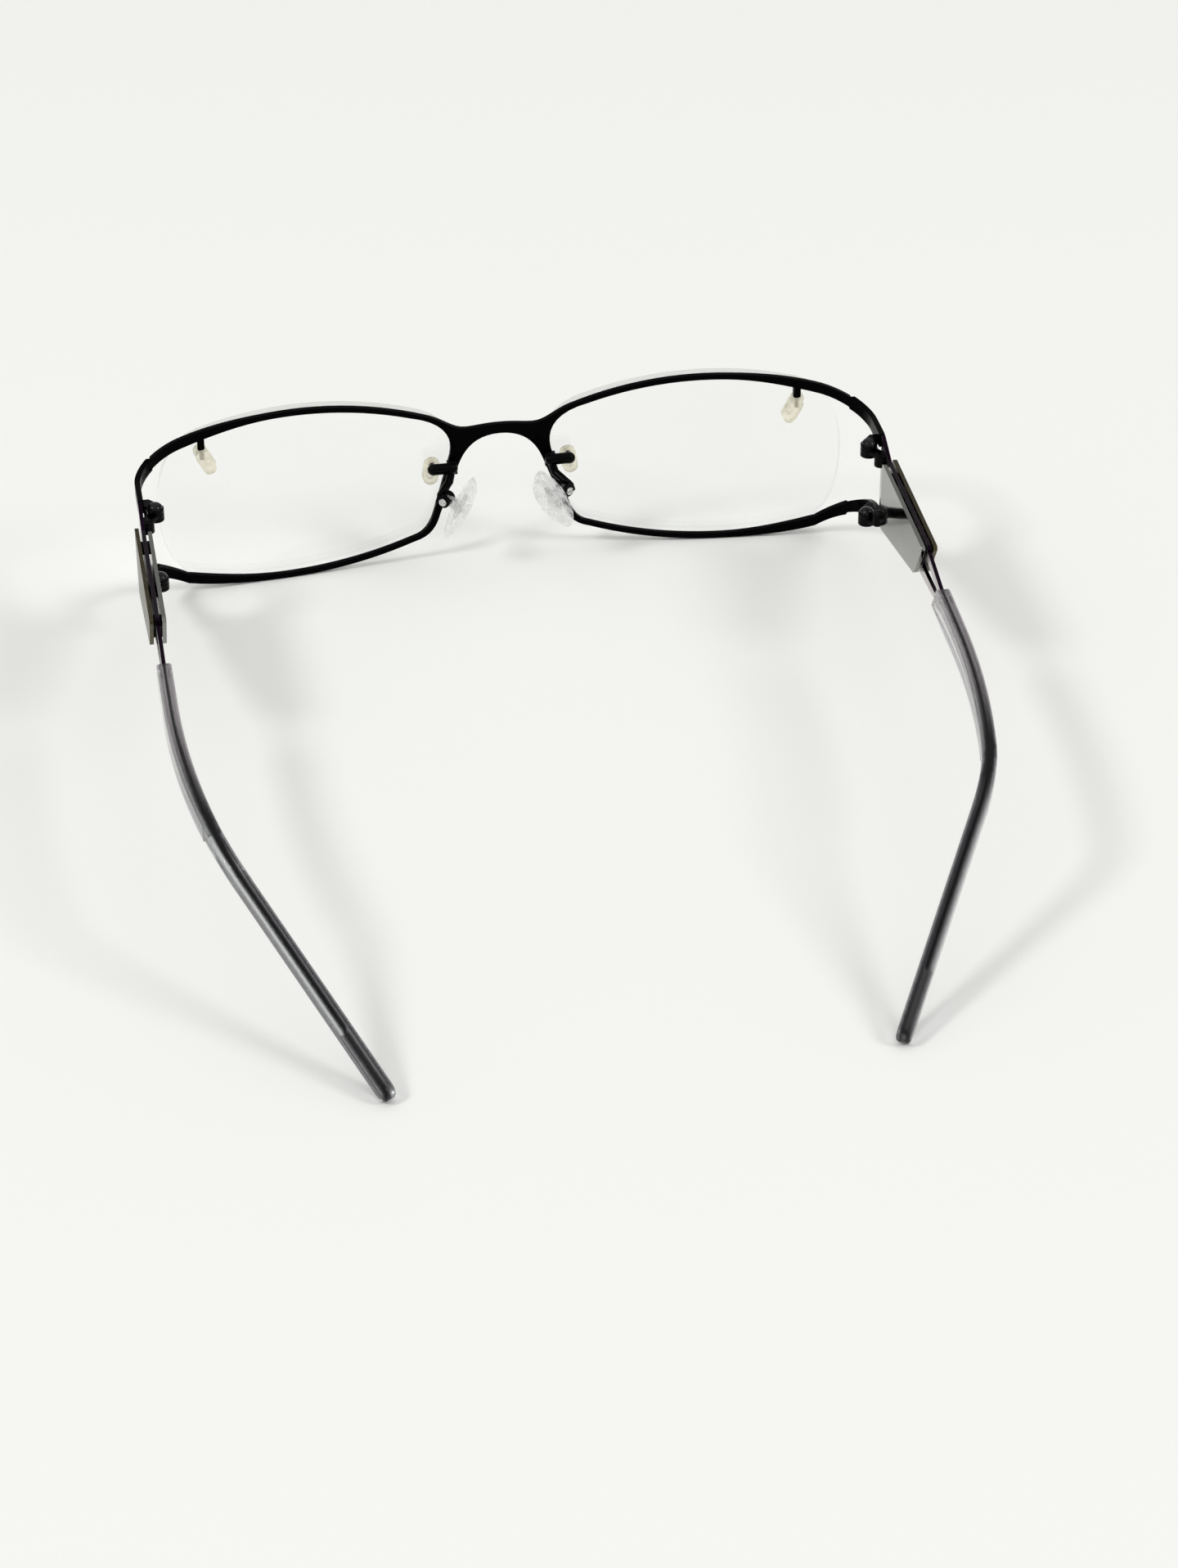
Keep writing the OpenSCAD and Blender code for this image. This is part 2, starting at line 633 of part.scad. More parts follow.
module temple_inner_plate(s) {
  color([0.7, 0.7, 0.7]) seated() on_side(s)
    sideways(inner_in, inner_out) plate_outline(inner_front, 0.8);
}

module temple_outer_plate_right() { temple_outer_plate(1); }
module temple_outer_plate_left() { temple_outer_plate(-1); }
module temple_inner_plate_right() { temple_inner_plate(1); }
module temple_inner_plate_left() { temple_inner_plate(-1); }

// Spacers hold the plates off the core: a pin through the core with a collar on each side
module temple_spacers(s) {
  color([0.08, 0.07, 0.07]) seated() on_side(s) for (p = spacers) {
    translate([inner_out, p[0], p[1]]) rotate([0, 90, 0])
      cylinder(d = 1.1, h = outer_in - inner_out, $fn = 48);
    for (x = [inner_out, core_out]) translate([x, p[0], p[1]]) rotate([0, 90, 0])
      cylinder(d = 2.4, h = plate_gap, $fn = 48);
  }
}

module temple_spacers_right() { temple_spacers(1); }
module temple_spacers_left() { temple_spacers(-1); }

// Cross-section of the acetate, and of anything that runs inside it
module section(t, h, r, up) {
  translate([0, up]) {
    if (r > 0) {
      square([t - 2 * r, h], center = true);
      square([t, h - 2 * r], center = true);
      for (x = [-1, 1], y = [-1, 1]) translate([x * (t / 2 - r), y * (h / 2 - r)])
        circle(r = r, $fn = 32);
    }
    else square([t, h], center = true);
  }
}

// One straight step and one curved step of a strip. What follows is placed at the end of the step
module straight_step(l) {
  translate([0, 0, -0.01]) linear_extrude(height = l + 0.02) children(0);
  translate([0, 0, l]) children(1);
}

module curved_step(bend_radius, a, side) {
  rotate([0, 0, side]) {
    translate([bend_radius, 0, 0]) rotate([90, 0, 180])
      rotate_extrude(angle = a, $fn = round(4000 / a)) translate([bend_radius, 0])
        mirror([1, 0]) rotate([0, 0, -side]) children(0);
    translate([bend_radius * (1 - cos(a)), 0, bend_radius * sin(a)]) rotate([0, a, 0])
      rotate([0, 0, -side]) children(1);
  }
}

// Round end, turned about the middle of the strip
module round_end(t, h, r, up) {
  translate([0, up, 0]) rotate([0, 90, 0]) rotate_extrude($fn = 64) intersection() {
    rotate([0, 0, 90]) section(t, h, r, 0);
    translate([0, -t]) square([h, 2 * t]);
  }
}

// The front half of a strip, up to the ear bend
module lead_strip(t, h, r, up) {
  translate(p_0) rotate([90 + acetate_slope, 0, 0]) straight_step(lead_len) {
    section(t, h, r, up);
    curved_step(inward_r, inward_bend, 180) {
      section(t, h, r, up);
      straight_step(join) {
        section(t, h, r, up);
        union() {}
      }
    }
  }
}

// The rear half. Each step starts inside the step before it and is thinner by a hair
module ear_strip(t, h, r, end_len) {
  translate(p_2 + join / 2 * t_1) rotate([90 + acetate_slope, 0, 0]) rotate([0, -inward_bend, 0])
    curved_step(ear_r, ear_bend, -90 - ear_lean) {
      section(t - hair, h - hair, r, rise);
      union() {
        translate([0, 0, -0.3]) linear_extrude(height = end_len + 0.3)
          section(t - 2 * hair, h - 2 * hair, r, rise);
        translate([0, 0, end_len]) round_end(t - 3 * hair, h - 3 * hair, r, rise);
      }
    }
}

module wire_strip(grow, end_len) {
  h = wire_h + 2 * grow;
  lead_strip(core_t + 2 * grow, h, 0, rise);
  ear_strip(core_t + 2 * grow, h, 0, end_len);
}

// Under the strip, rising from the front end to the slim part, and in front of it, slanting
module acetate_cut() {
  low = acetate_h / 2;
  slim_z = p_2[2] - (low - 2 * rise) * cos(acetate_slope);
  sideways(0, 100) polygon([[acetate_y + 20, acetate_z - low], [acetate_y - 4, acetate_z - low],
    [p_2[1], slim_z], [p_2[1] - 5, slim_z - 0.1], [p_2[1] - 5, -60], [acetate_y + 20, -60]]);
  sideways(0, 100) polygon([[acetate_y + 20, 20], [acetate_y - 1.3, 20],
    [acetate_y - 1.3, acetate_z + low], [acetate_y + 2, acetate_z - low],
    [acetate_y + 2, -40], [acetate_y + 20, -40]]);
}

module temple_acetate(s) {
  color([0.45, 0.43, 0.5, 0.8]) seated() on_side(s) difference() {
    union() {
      difference() {
        union() {
          lead_strip(acetate_t, acetate_h, acetate_round, 0);
          translate(p_0) rotate([90 + acetate_slope, 0, 0]) translate([0, 0, -3.5])
            linear_extrude(height = 3.6) section(acetate_t, acetate_h, acetate_round, 0);
        }
        acetate_cut();
      }
      ear_strip(acetate_t, tip_h, acetate_round, ear_piece_len);
    }
    wire_strip(slot, ear_piece_len - 11.9);
    sideways(core_in - slot, core_out + slot) core_fork(slot);
  }
}

module temple_acetate_right() { temple_acetate(1); }
module temple_acetate_left() { temple_acetate(-1); }

// Two strips of the core run from the plates into the acetate
module core_fork(grow) {
  y1 = acetate_y - 4.5;
  mid = acetate_z - 0.33 + rise;
  half = wire_h / 2 + grow;
  top_z = acetate_z + acetate_h / 2 - 0.8;
  low_z = acetate_z - acetate_h / 2 + 0.8;
  polygon([[plate_rear + 3, rear_top - 0.2], [plate_rear + 3, rear_top - 2.2],
    [acetate_y + 1, top_z - 1.3 - grow], [y1, mid - half + 0.3], [y1, mid + half],
    [acetate_y - 0.6, top_z + grow]]);
  polygon([[plate_rear + rear_lean + 3, rear_low + 0.1], [plate_rear + rear_lean + 3, rear_low + 2.2],
    [acetate_y + 2.4, low_z + 1.3 + grow], [y1, mid + half - 0.3], [y1, mid - half],
    [acetate_y + 2.4, low_z - grow]]);
}

// Core of a temple: a tall plate from hinge to hinge, two strips, and a wire in the acetate
module temple_core(s) {
  color([0.1, 0.07, 0.11]) seated() on_side(s) {
    sideways(core_in, core_out) difference() {
      union() {
        plate_outline(inner_front, 0);
        polygon([[inner_front - 0.1, plate_top], [core_front, upper_z + 2.6],
          [core_front, lower_z - 1.6], [inner_front - 0.1, plate_low]]);
        core_fork(0);
      }
      for (p = spacers) translate(p) circle(d = 1.14, $fn = 48);
    }
    difference() {
      wire_strip(0, ear_piece_len - 12);
      translate([0, acetate_y - 4, -60]) cube([200, 100, 100]);
    }
  }
}

module temple_core_right() { temple_core(1); }
module temple_core_left() { temple_core(-1); }

front_frame();
lens_right();
lens_left();
bushing_temporal_right();
bushing_temporal_left();
bushing_nasal_right();
bushing_nasal_left();
pad_arm_right();
pad_arm_left();
pad_screws();
pad_insert_right();
pad_insert_left();
nose_pad_right();
nose_pad_left();
hinge_upper_front_leaf_right();
hinge_upper_front_leaf_left();
hinge_lower_front_leaf_right();
hinge_lower_front_leaf_left();
hinge_upper_temple_leaf_right();
hinge_upper_temple_leaf_left();
hinge_lower_temple_leaf_right();
hinge_lower_temple_leaf_left();
hinge_screws_right();
hinge_screws_left();
temple_core_right();
temple_core_left();
temple_outer_plate_right();
temple_outer_plate_left();
temple_inner_plate_right();
temple_inner_plate_left();
temple_spacers_right();
temple_spacers_left();
temple_acetate_right();
temple_acetate_left();
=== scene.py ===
"""Scene for open wrap-style eyeglasses, seen from behind and above on a white table.

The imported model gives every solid. This file gives each solid its finish, puts finer screws in the
place of the plain ones, and sets up the table, the light and the camera. All lengths are in metres,
apart from the camera's lens and sensor, which are in millimetres. Angles are in degrees.
"""

from __future__ import annotations

import json
import logging
import math
from dataclasses import dataclass
from enum import Enum

import bmesh
import bpy
from mathutils import Euler, Matrix, Vector

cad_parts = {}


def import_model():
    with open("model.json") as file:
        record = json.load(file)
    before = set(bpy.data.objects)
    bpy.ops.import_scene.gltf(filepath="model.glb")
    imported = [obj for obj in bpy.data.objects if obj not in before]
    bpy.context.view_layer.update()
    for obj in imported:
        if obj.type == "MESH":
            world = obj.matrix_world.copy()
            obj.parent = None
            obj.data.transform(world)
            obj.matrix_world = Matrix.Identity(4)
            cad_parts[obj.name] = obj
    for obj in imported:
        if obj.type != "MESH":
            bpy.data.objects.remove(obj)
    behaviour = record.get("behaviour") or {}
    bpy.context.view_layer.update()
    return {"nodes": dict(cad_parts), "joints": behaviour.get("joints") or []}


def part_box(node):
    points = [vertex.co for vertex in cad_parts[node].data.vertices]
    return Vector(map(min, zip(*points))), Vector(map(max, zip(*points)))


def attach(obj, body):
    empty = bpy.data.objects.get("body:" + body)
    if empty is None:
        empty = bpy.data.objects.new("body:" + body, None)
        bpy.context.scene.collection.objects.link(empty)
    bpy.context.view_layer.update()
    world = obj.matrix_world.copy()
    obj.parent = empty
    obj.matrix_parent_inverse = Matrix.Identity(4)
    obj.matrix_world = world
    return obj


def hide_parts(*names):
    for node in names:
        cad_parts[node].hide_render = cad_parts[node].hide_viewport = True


LOG = logging.getLogger("eyeglasses")

Colour = tuple[float, float, float]
Span = tuple[float, float]
Line = tuple[Vector, Vector]
Nodes = dict[str, bpy.types.Object]
Sockets = dict[str, bpy.types.NodeSocket]


def shade(colour: Colour, share: float) -> Colour:
    """Darken or lighten a colour by a share."""
    return tuple(channel * share for channel in colour)


class Side(Enum):
    """The wearer's side that a piece belongs to."""

    RIGHT = "right"
    LEFT = "left"


class Seen(Enum):
    """How a finish lets lamp light through."""

    SOLID = "solid"
    CLEAR = "clear"


class Wiring:
    """Adds nodes to one shader tree and joins them.

    The Mix node's sockets share their names, so those for colours are found by number.

    Args:
        tree: The node tree that is written.
    """

    bevel_samples: int = 4
    colour_inputs: tuple[int, int, int] = (0, 6, 7)
    colour_output: int = 2

    def __init__(self, tree: bpy.types.NodeTree) -> None:
        """Keep the tree."""
        self.tree = tree

    def node(self, kind: str, **inputs: object) -> bpy.types.Node:
        """Add a node and set or join its inputs.

        Args:
            kind: The node's type without the ShaderNode prefix.
            **inputs: Input names with underscores for spaces, each a value or an output socket.

        Returns:
            The new node.
        """
        made = self.tree.nodes.new("ShaderNode" + kind)
        for name, value in inputs.items():
            self.feed(made.inputs[name.replace("_", " ")], value)
        return made

    def feed(self, socket: bpy.types.NodeSocket, value: object) -> None:
        """Join an output to a socket, or set the socket's own value.

        Args:
            socket: The input socket.
            value: An output socket, a number, a colour or a vector.
        """
        if isinstance(value, bpy.types.NodeSocket):
            self.tree.links.new(value, socket)
        elif isinstance(value, tuple) and len(value) == 3 and socket.type == "RGBA":
            socket.default_value = (*value, 1.0)
        else:
            socket.default_value = value

    def math(self, operation: str, *values: object) -> bpy.types.NodeSocket:
        """Work out a number from up to three others.

        Args:
            operation: The Math node's operation.
            *values: Numbers or output sockets.

        Returns:
            The result's socket.
        """
        made = self.node("Math")
        made.operation = operation
        for socket, value in zip(made.inputs, values):
            self.feed(socket, value)
        return made.outputs[0]

    def vectors(self, operation: str, first: object, second: object) -> bpy.types.Node:
        """Work out a vector or a number from two vectors.

        Args:
            operation: The Vector Math node's operation.
            first: The first vector.
            second: The second vector.

        Returns:
            The node, whose output depends on the operation.
        """
        made = self.node("VectorMath")
        made.operation = operation
        self.feed(made.inputs[0], first)
        self.feed(made.inputs[1], second)
        return made

    def spread(self, value: object, low: object, high: object, to_low: object = 0.0,
               to_high: object = 1.0) -> bpy.types.NodeSocket:
        """Map a number from one span to another, smoothly and clamped.

        Args:
            value: The number to map.
            low: The start of its span.
            high: The end of its span.
            to_low: The result at the start.
            to_high: The result at the end.

        Returns:
            The mapped number's socket.
        """
        made = self.node("MapRange")
        made.interpolation_type = "SMOOTHSTEP"
        for socket, given in zip(made.inputs, (value, low, high, to_low, to_high)):
            self.feed(socket, given)
        return made.outputs[0]

    def mix(self, share: object, first: object, second: object) -> bpy.types.NodeSocket:
        """Blend two colours.

        Args:
            share: The second colour's share.
            first: The first colour.
            second: The second colour.

        Returns:
            The blended colour's socket.
        """
        made = self.node("Mix")
        made.data_type = "RGBA"
        for number, value in zip(self.colour_inputs, (share, first, second)):
            self.feed(made.inputs[number], value)
        return made.outputs[self.colour_output]

    def place(self) -> bpy.types.NodeSocket:
        """Read the place on the piece's own axes."""
        return self.node("TexCoord").outputs["Object"]

    def rounded(self, reach: object) -> bpy.types.NodeSocket:
        """Round the normal over near the edges.

        Args:
            reach: How far from an edge the rounding starts.

        Returns:
            The rounded normal's socket.
        """
        made = self.node("Bevel", Radius=reach)
        made.samples = self.bevel_samples
        return made.outputs[0]

    def bump(self, height: object, strength: float, distance: float,
             normal: bpy.types.NodeSocket | None = None) -> bpy.types.NodeSocket:
        """Tilt a normal by a height.

        Args:
            height: The height's socket.
            strength: The tilt's strength.
            distance: The height's size.
            normal: The normal that is tilted, if it isn't the surface's own.

        Returns:
            The tilted normal's socket.
        """
        made = self.node("Bump", Height=height, Strength=strength, Distance=distance)
        if normal is not None:
            self.feed(made.inputs["Normal"], normal)
        return made.outputs[0]


@dataclass(frozen=True)
class Socket:
    """One named socket of a shared effect."""

    name: str
    kind: str = "NodeSocketFloat"
    value: float | None = None


class Effect:
    """A shared shader effect, built once as a node group and placed in each material."""

    title: str = ""
    takes: tuple[Socket, ...] = ()
    gives: tuple[Socket, ...] = ()

    @classmethod
    def group(cls) -> bpy.types.NodeTree:
        """Build the node group the first time, and find it afterwards.

        Returns:
            The node group.
        """
        found = bpy.data.node_groups.get(cls.title)
        if found:
            return found
        tree = bpy.data.node_groups.new(cls.title, "ShaderNodeTree")
        for entry, way in [(s, "INPUT") for s in cls.takes] + [(s, "OUTPUT") for s in cls.gives]:
            made = tree.interface.new_socket(name=entry.name, in_out=way, socket_type=entry.kind)
            if entry.value is not None:
                made.default_value = entry.value
        start = tree.nodes.new("NodeGroupInput")
        end = tree.nodes.new("NodeGroupOutput")
        wiring = Wiring(tree)
        for name, socket in cls.draw(wiring, start.outputs).items():
            wiring.feed(end.inputs[name], socket)
        return tree

    @classmethod
    def draw(cls, wiring: Wiring, given: bpy.types.NodeOutputs) -> Sockets:
        """Build the inside of the group.

        Args:
            wiring: The group's wiring.
            given: The group's inputs by name.

        Returns:
            The result of each named output.
        """
        raise NotImplementedError

    @classmethod
    def put(cls, wiring: Wiring, **inputs: object) -> bpy.types.NodeOutputs:
        """Place the group in a material.

        Args:
            wiring: The material's wiring.
            **inputs: Input names with underscores for spaces, each a value or an output socket.

        Returns:
            The group's outputs by name.
        """
        made = wiring.node("Group")
        made.node_tree = cls.group()
        for name, value in inputs.items():
            wiring.feed(made.inputs[name.replace("_", " ")], value)
        return made.outputs


class FineRelief(Effect):
    """Small uneven patches in a coating or a moulded skin."""

    title = "fine relief"
    takes = (Socket("Patch Size", value=0.001), Socket("Contrast", value=1.0))
    gives = (Socket("Value"), Socket("Height"))
    broad_share: float = 0.65
    fineness: float = 6.0
    middle: float = 0.5
    window: Span = (0.25, 0.75)

    @classmethod
    def draw(cls, wiring: Wiring, given: bpy.types.NodeOutputs) -> Sockets:
        """Blend a broad and a fine noise.

        Args:
            wiring: The group's wiring.
            given: The patches' size and contrast.

        Returns:
            A clear-cut value and the plain height.
        """
        place = wiring.place()
        scale = wiring.math("DIVIDE", 1.0, given["Patch Size"])
        fine_scale = wiring.math("MULTIPLY", scale, cls.fineness)
        broad = wiring.node("TexNoise", Vector=place, Scale=scale, Detail=3.0).outputs["Fac"]
        fine = wiring.node("TexNoise", Vector=place, Scale=fine_scale, Detail=2.0).outputs["Fac"]
        height = wiring.math("ADD", wiring.math("MULTIPLY", broad, cls.broad_share),
                             wiring.math("MULTIPLY", fine, 1.0 - cls.broad_share))
        off = wiring.math("SUBTRACT", height, cls.middle)
        sharpened = wiring.math("MULTIPLY_ADD", off, given["Contrast"], cls.middle)
        return {"Value": wiring.spread(sharpened, *cls.window), "Height": height}


class BrushedGrain(Effect):
    """Long fine scratches that run along the temple."""

    title = "brushed grain"
    takes = (Socket("Width", value=0.00012), Socket("Length", value=0.012))
    gives = (Socket("Streaks"), Socket("Height"))
    window: Span = (0.3, 0.7)

    @classmethod
    def draw(cls, wiring: Wiring, given: bpy.types.NodeOutputs) -> Sockets:
        """Stretch a noise along Y.

        Args:
            wiring: The group's wiring.
            given: The scratches' width and length.

        Returns:
            Clear-cut streaks and the plain height.
        """
        across = wiring.math("DIVIDE", 1.0, given["Width"])
        along = wiring.math("DIVIDE", 1.0, given["Length"])
        scale = wiring.node("CombineXYZ", X=across, Y=along, Z=across).outputs[0]
        stretched = wiring.vectors("MULTIPLY", wiring.place(), scale).outputs[0]
        noise = wiring.node("TexNoise", Vector=stretched, Scale=1.0, Detail=4.0, Roughness=0.6)
        height = noise.outputs["Fac"]
        return {"Streaks": wiring.spread(height, *cls.window), "Height": height}


class EdgeSheen(Effect):
    """Finds the rounded-over edges, where a painted highlight goes."""

    title = "edge wear"
    takes = (Socket("Reach", value=0.0002), Socket("Breakup", value=0.5))
    gives = (Socket("Mask"), Socket("Soft Normal", "NodeSocketVector"))
    # The painted edge highlight is full where the rounded and true normals are as alike as the first
    # number, and gone where they are as alike as the second; specks break it up.
    full_sheen: float = 0.75
    no_sheen: float = 0.98
    speck_scale: float = 900.0

    @classmethod
    def draw(cls, wiring: Wiring, given: bpy.types.NodeOutputs) -> Sockets:
        """Compare the rounded normal with the true one and break the result up.

        Args:
            wiring: The group's wiring.
            given: The rounding's reach and the breakup's depth.

        Returns:
            The mask of the painted edge highlight and the rounded normal.
        """
        soft = wiring.rounded(given["Reach"])
        true = wiring.node("NewGeometry").outputs["Normal"]
        likeness = wiring.vectors("DOT_PRODUCT", soft, true).outputs["Value"]
        bend = wiring.spread(likeness, cls.full_sheen, cls.no_sheen, 1.0, 0.0)
        specks = wiring.node("TexNoise", Vector=wiring.place(), Scale=cls.speck_scale, Detail=3.0)
        lost = wiring.math("MULTIPLY", given["Breakup"], specks.outputs["Fac"])
        kept = wiring.math("SUBTRACT", 1.0, lost)
        return {"Mask": wiring.math("MULTIPLY", bend, kept), "Soft Normal": soft}


class FaceWay(Effect):
    """Tells the broad sides of a plate from its cut edges, by the way that each face looks."""

    title = "face way"
    takes = (Socket("Low", value=0.5), Socket("High", value=0.85), Socket("Reach", value=0.00005))
    gives = (Socket("Sideways"), Socket("Forwards"))

    @classmethod
    def draw(cls, wiring: Wiring, given: bpy.types.NodeOutputs) -> Sockets:
        """Turn the rounded normal to the piece's own axes and read its lean along X and Y.

        Args:
            wiring: The group's wiring.
            given: The leans where the masks start and end, and the rounding's reach.

        Returns:
            The mask of what looks sideways and of what looks forwards or backwards.
        """
        turned = wiring.node("VectorTransform", Vector=wiring.rounded(given["Reach"]))
        turned.vector_type = "NORMAL"
        turned.convert_from = "WORLD"
        turned.convert_to = "OBJECT"
        way = wiring.node("SeparateXYZ", Vector=turned.outputs[0]).outputs
        masks = {}
        for name, axis in (("Sideways", "X"), ("Forwards", "Y")):
            lean = wiring.math("ABSOLUTE", way[axis])
            masks[name] = wiring.spread(lean, given["Low"], given["High"])
        return masks


class AlongFade(Effect):
    """A smooth change from one place to another along the temple."""

    title = "along fade"
    takes = (Socket("Start", value=0.0), Socket("End", value=0.1))
    gives = (Socket("Mask"),)

    @classmethod
    def draw(cls, wiring: Wiring, given: bpy.types.NodeOutputs) -> Sockets:
        """Read the place along Y."""
        along = wiring.node("SeparateXYZ", Vector=wiring.place()).outputs["Y"]
        return {"Mask": wiring.spread(along, given["Start"], given["End"])}


@dataclass(frozen=True)
class Finish:
    """A finish: its name, a slot name, its colour and its gloss.

    A clear finish lets shadow_light of a lamp's light pass, and shadow_tint more in its own colour.
    """

    name: str
    slot: str
    colour: Colour
    roughness: float
    seen: Seen = Seen.SOLID
    metallic: float = 0.0
    shine: float = 0.5
    shadow_light: float = 0.55
    shadow_tint: float = 0.4

    def material(self) -> bpy.types.Material:
        """Build the material the first time, and find it afterwards.

        Returns:
            The material.
        """
        found = bpy.data.materials.get(self.name)
        if found:
            return found
        made = bpy.data.materials.new(self.name)
        made.use_nodes = True
        made.node_tree.nodes.clear()
        made.diffuse_color = (*self.colour, 1.0)
        wiring = Wiring(made.node_tree)
        shader = wiring.node("BsdfPrincipled", Base_Color=self.colour, Roughness=self.roughness,
                             Metallic=self.metallic, Specular_IOR_Level=self.shine)
        self.detail(wiring, shader.inputs)
        result = shader.outputs[0]
        if self.seen is Seen.CLEAR:
            result = self.let_lamps_through(wiring, result)
        wiring.node("OutputMaterial", Surface=result)
        return made

    def detail(self, wiring: Wiring, skin: bpy.types.NodeInputs) -> None:
        """Add what varies over the surface.

        Args:
            wiring: The material's wiring.
            skin: The inputs of the material's shader.
        """
        raise NotImplementedError

    def vary_gloss(self, wiring: Wiring, skin: bpy.types.NodeInputs, value: object,
                   shares: Span) -> None:
        """Spread the roughness around its own value.

        Args:
            wiring: The material's wiring.
            skin: The inputs of the material's shader.
            value: What the roughness follows, from 0 to 1.
            shares: The least and the greatest roughness, as shares of its own value.
        """
        low, high = (self.roughness * share for share in shares)
        wiring.feed(skin["Roughness"], wiring.spread(value, 0.0, 1.0, low, high))

    def let_lamps_through(self, wiring: Wiring,
                          result: bpy.types.NodeSocket) -> bpy.types.NodeSocket:
        """Let lamp light pass a clear piece, so that its shadow stays pale.

        Args:
            wiring: The material's wiring.
            result: The shader's output.

        Returns:
            The output of the mixed shader.
        """
        tint = tuple(self.shadow_light + self.shadow_tint * channel for channel in self.colour)
        for_lamps = wiring.node("LightPath").outputs["Is Shadow Ray"]
        open_way = wiring.node("BsdfTransparent", Color=tint).outputs[0]
        mixed = wiring.node("MixShader")
        for socket, value in zip(mixed.inputs, (for_lamps, result, open_way)):
            wiring.feed(socket, value)
        return mixed.outputs[0]


@dataclass(frozen=True)
class Coating(Finish):
    """A thin dark coating on metal, with a painted highlight along its rounded edges."""

    # edge is the colour of the painted highlight along the rounded edges.
    edge: Colour = (0.003, 0.003, 0.003)
    patch: float = 0.0012
    contrast: float = 1.2
    deepest: float = 0.7
    reach: float = 0.0002
    breakup: float = 0.5
    gloss: Span = (0.8, 1.2)
    strength: float = 0.25
    relief: float = 0.00001

    def detail(self, wiring: Wiring, skin: bpy.types.NodeInputs) -> None:
        """Vary the roughness in patches, paint a highlight along the edges and round them.

        Args:
            wiring: The material's wiring.
            skin: The inputs of the material's shader.
        """
        patches = FineRelief.put(wiring, Patch_Size=self.patch, Contrast=self.contrast)
        sheen = EdgeSheen.put(wiring, Reach=self.reach, Breakup=self.breakup)
        base = wiring.mix(patches["Value"], shade(self.colour, self.deepest), self.colour)
        # Painted highlight: the edge colour is blended in along the rounded edges.
        wiring.feed(skin["Base Color"], wiring.mix(sheen["Mask"], base, self.edge))
        self.vary_gloss(wiring, skin, patches["Value"], self.gloss)
        normal = wiring.bump(patches["Height"], self.strength, self.relief, sheen["Soft Normal"])
        wiring.feed(skin["Normal"], normal)


@dataclass(frozen=True)
class BrushedMetal(Finish):
    """Metal with long fine scratches along the temple."""

    light: Colour = (0.5, 0.5, 0.5)
    width: float = 0.0001
    length: float = 0.01
    patch: float = 0.004
    patch_share: float = 0.3
    reach: float = 0.00012
    breakup: float = 0.4
    # edge_gain brightens the painted highlight along the edges.
    edge_gain: float = 1.1
    gloss: Span = (0.85, 1.15)
    strength: float = 0.3
    depth: float = 0.000004

    def detail(self, wiring: Wiring, skin: bpy.types.NodeInputs) -> None:
        """Run streaks through colour, roughness and height.

        Args:
            wiring: The material's wiring.
            skin: The inputs of the material's shader.
        """
        grain = BrushedGrain.put(wiring, Width=self.width, Length=self.length)
        patches = FineRelief.put(wiring, Patch_Size=self.patch, Contrast=1.0)
        sheen = EdgeSheen.put(wiring, Reach=self.reach, Breakup=self.breakup)
        streaks = wiring.math("MULTIPLY", grain["Streaks"], 1.0 - self.patch_share)
        share = wiring.math("MULTIPLY_ADD", patches["Value"], self.patch_share, streaks)
        base = wiring.mix(share, self.colour, self.light)
        # Painted highlight: the edges get a brighter tone of the metal.
        edge = shade(self.light, self.edge_gain)
        wiring.feed(skin["Base Color"], wiring.mix(sheen["Mask"], base, edge))
        self.vary_gloss(wiring, skin, grain["Streaks"], self.gloss)
        normal = wiring.bump(grain["Height"], self.strength, self.depth, sheen["Soft Normal"])
        wiring.feed(skin["Normal"], normal)


@dataclass(frozen=True)
class CorePlating(Finish):
    """Plain rolled metal on the broad sides, and a dark purple coating on the cut edges."""

    side: Colour = (0.62, 0.58, 0.58)
    side_deepest: float = 0.75
    edge_deepest: float = 0.45
    side_lean: Span = (0.6, 0.9)
    width: float = 0.00015
    length: float = 0.02
    patch: float = 0.002
    contrast: float = 1.2
    reach: float = 0.0001
    breakup: float = 0.4
    gloss: Span = (0.8, 1.2)
    strength: float = 0.2
    depth: float = 0.000003

    def detail(self, wiring: Wiring, skin: bpy.types.NodeInputs) -> None:
        """Choose the sides or the edges by the way a face looks, and run a grain through the sides.

        Args:
            wiring: The material's wiring.
            skin: The inputs of the material's shader.
        """
        low, high = self.side_lean
        sideways = FaceWay.put(wiring, Low=low, High=high)["Sideways"]
        grain = BrushedGrain.put(wiring, Width=self.width, Length=self.length)
        patches = FineRelief.put(wiring, Patch_Size=self.patch, Contrast=self.contrast)
        soft = EdgeSheen.put(wiring, Reach=self.reach, Breakup=self.breakup)["Soft Normal"]
        sides = wiring.mix(grain["Streaks"], shade(self.side, self.side_deepest), self.side)
        edges = wiring.mix(patches["Value"], shade(self.colour, self.edge_deepest), self.colour)
        wiring.feed(skin["Base Color"], wiring.mix(sideways, edges, sides))
        self.vary_gloss(wiring, skin, patches["Value"], self.gloss)
        normal = wiring.bump(grain["Height"], self.strength, self.depth, soft)
        wiring.feed(skin["Normal"], normal)


